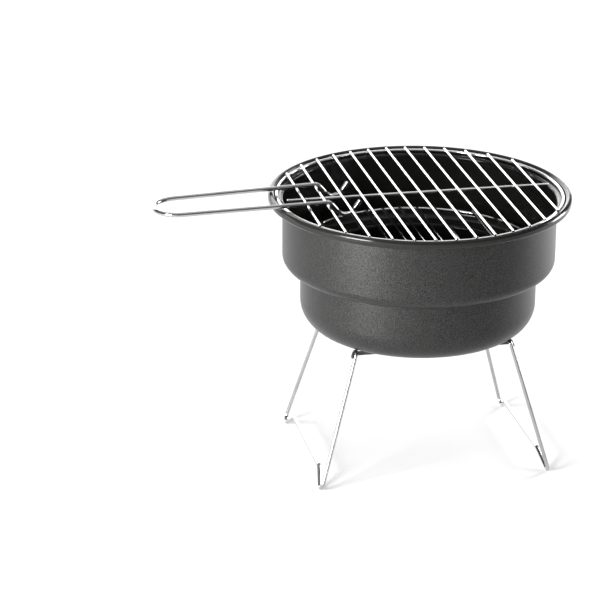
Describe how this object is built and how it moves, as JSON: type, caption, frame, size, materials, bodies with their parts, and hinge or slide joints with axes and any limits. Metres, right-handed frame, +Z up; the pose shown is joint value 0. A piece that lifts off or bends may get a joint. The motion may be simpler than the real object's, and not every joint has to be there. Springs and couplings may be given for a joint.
{
  "type": "portable tabletop grill",
  "caption": "Round two-step steel charcoal bowl on folding wire legs, with a lift-out charcoal grate, a lift-off cooking grid and a hooked wire lifting handle.",
  "frame": {"origin": "on the ground under the centre of the bowl", "axes": "+Z up, legs at -X and +X folding about Y, lifting handle towards -X, grid bars along Y"},
  "size_m": [0.3773, 0.2716, 0.2549],
  "materials": {
    "bowl_paint": "satin, fine hammered texture",
    "bracket_paint": "satin",
    "rivet_steel": "satin",
    "leg_chrome": "polished",
    "grid_chrome": "polished",
    "grate_chrome": "polished",
    "handle_chrome": "polished"
  },
  "bodies": {
    "bowl": {"bowl": "bowl_paint", "left_leg_bracket": "bracket_paint", "right_leg_bracket": "bracket_paint", "left_bracket_rivets": "rivet_steel", "right_bracket_rivets": "rivet_steel"},
    "left_leg": {"left_leg": "leg_chrome"},
    "right_leg": {"right_leg": "leg_chrome"},
    "charcoal_grate": {"grate_ring": "grate_chrome", "grate_foot_1": "grate_chrome", "grate_foot_2": "grate_chrome", "grate_foot_3": "grate_chrome", "grate_foot_4": "grate_chrome", "grate_bar_01": "grate_chrome", "grate_bar_02": "grate_chrome", "grate_bar_03": "grate_chrome", "grate_bar_04": "grate_chrome", "grate_bar_05": "grate_chrome", "grate_bar_06": "grate_chrome", "grate_bar_07": "grate_chrome", "grate_bar_08": "grate_chrome", "grate_bar_09": "grate_chrome", "grate_bar_10": "grate_chrome", "grate_bar_11": "grate_chrome", "grate_bar_12": "grate_chrome"},
    "cooking_grid": {"grid_ring": "grid_chrome", "grid_cross_bar": "grid_chrome", "grid_bar_01": "grid_chrome", "grid_bar_02": "grid_chrome", "grid_bar_03": "grid_chrome", "grid_bar_04": "grid_chrome", "grid_bar_05": "grid_chrome", "grid_bar_06": "grid_chrome", "grid_bar_07": "grid_chrome", "grid_bar_08": "grid_chrome", "grid_bar_09": "grid_chrome", "grid_bar_10": "grid_chrome", "grid_bar_11": "grid_chrome", "grid_bar_12": "grid_chrome", "grid_bar_13": "grid_chrome"},
    "lifting_handle": {"lifting_handle": "handle_chrome"}
  },
  "joints": [
    {"name": "left_leg_fold", "type": "hinge", "parent": "bowl", "child": "left_leg", "pos_m": [-0.0705, 0, 0.1226], "axis": [0, -1, 0], "range_deg": [0, 100]},
    {"name": "right_leg_fold", "type": "hinge", "parent": "bowl", "child": "right_leg", "pos_m": [0.0705, 0, 0.1226], "axis": [0, 1, 0], "range_deg": [0, 91]},
    {"name": "grate_lift", "type": "slide", "parent": "bowl", "child": "charcoal_grate", "axis": [0, 0, 1], "range_m": [0, 0.12]},
    {"name": "grid_lift", "type": "slide", "parent": "charcoal_grate", "child": "cooking_grid", "axis": [0, 0, 1], "range_m": [0, 0.12]},
    {"name": "handle_tilt", "type": "hinge", "parent": "cooking_grid", "child": "lifting_handle", "pos_m": [-0.071, 0, 0.2486], "axis": [0, 1, 0], "range_deg": [0, 80]}
  ]
}
